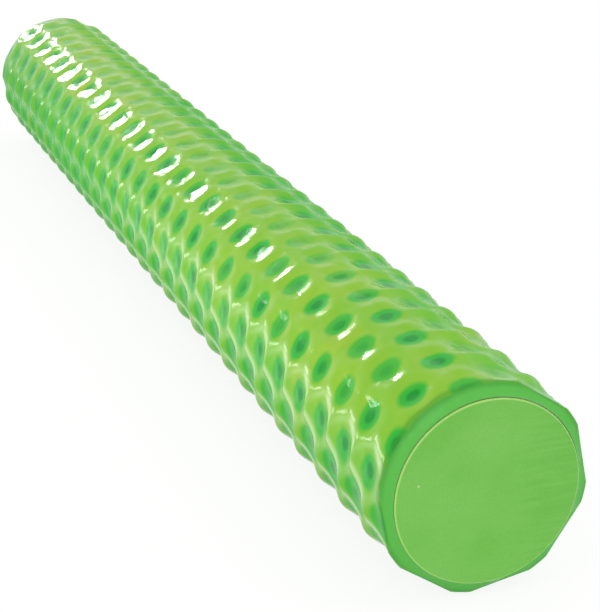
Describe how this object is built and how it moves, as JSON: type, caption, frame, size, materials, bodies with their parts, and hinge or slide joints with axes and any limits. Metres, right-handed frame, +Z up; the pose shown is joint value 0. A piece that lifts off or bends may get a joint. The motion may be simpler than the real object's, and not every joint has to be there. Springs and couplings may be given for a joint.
{
  "type": "pool noodle",
  "caption": "Thick straight foam float log for swimming, dipped in soft green vinyl, dimpled all over, with a flat round disc on each end.",
  "frame": {"origin": "on the surface that the log lies on, under the middle of the log", "axes": "+Z up; Y along the log, with the front end, which the picture shows, towards -Y; X across it"},
  "size_m": [0.1402, 1.168, 0.1403],
  "materials": {
    "closed_cell_foam": "matte",
    "soft_vinyl": "gloss",
    "disc_vinyl": "satin"
  },
  "bodies": {
    "root": {"foam_core": "closed_cell_foam", "vinyl_skin": "soft_vinyl", "front_end_disc": "disc_vinyl", "rear_end_disc": "disc_vinyl"}
  },
  "joints": []
}
